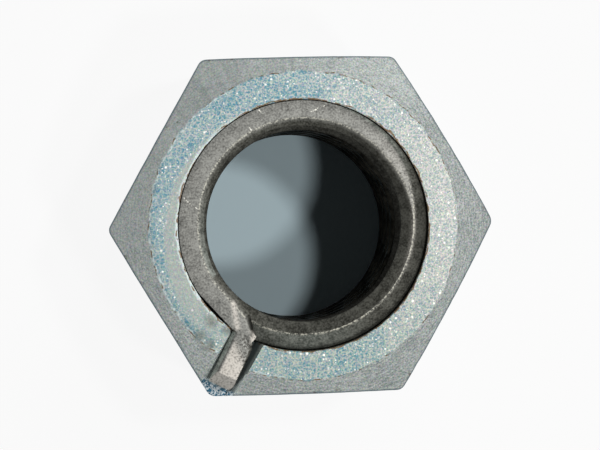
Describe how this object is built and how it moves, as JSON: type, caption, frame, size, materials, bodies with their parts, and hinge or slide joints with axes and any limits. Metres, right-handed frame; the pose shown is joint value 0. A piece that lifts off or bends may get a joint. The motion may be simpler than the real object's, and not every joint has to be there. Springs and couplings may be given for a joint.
{
  "type": "hex lock nut",
  "caption": "Chamfered hexagon lock nut with a diamond-wire locking spring set in its top face and the spring's tang bent out into a corner slot.",
  "frame": {"origin": "centre of the bearing face, on the thread axis", "axes": "+Z along the thread axis from the bearing face to the face with the spring; +X through one corner of the hexagon"},
  "size_m": [0.0344, 0.03, 0.018],
  "materials": {
    "plated_steel": "zinc-plated forged steel, dull, with a brighter grainy land on the top face and rust specks at its rims",
    "spring_steel": "bare spring steel, satin, with fine scratches and dark stains"
  },
  "bodies": {
    "root": {"nut_body": "plated_steel", "lock_spring": "spring_steel"}
  },
  "joints": []
}
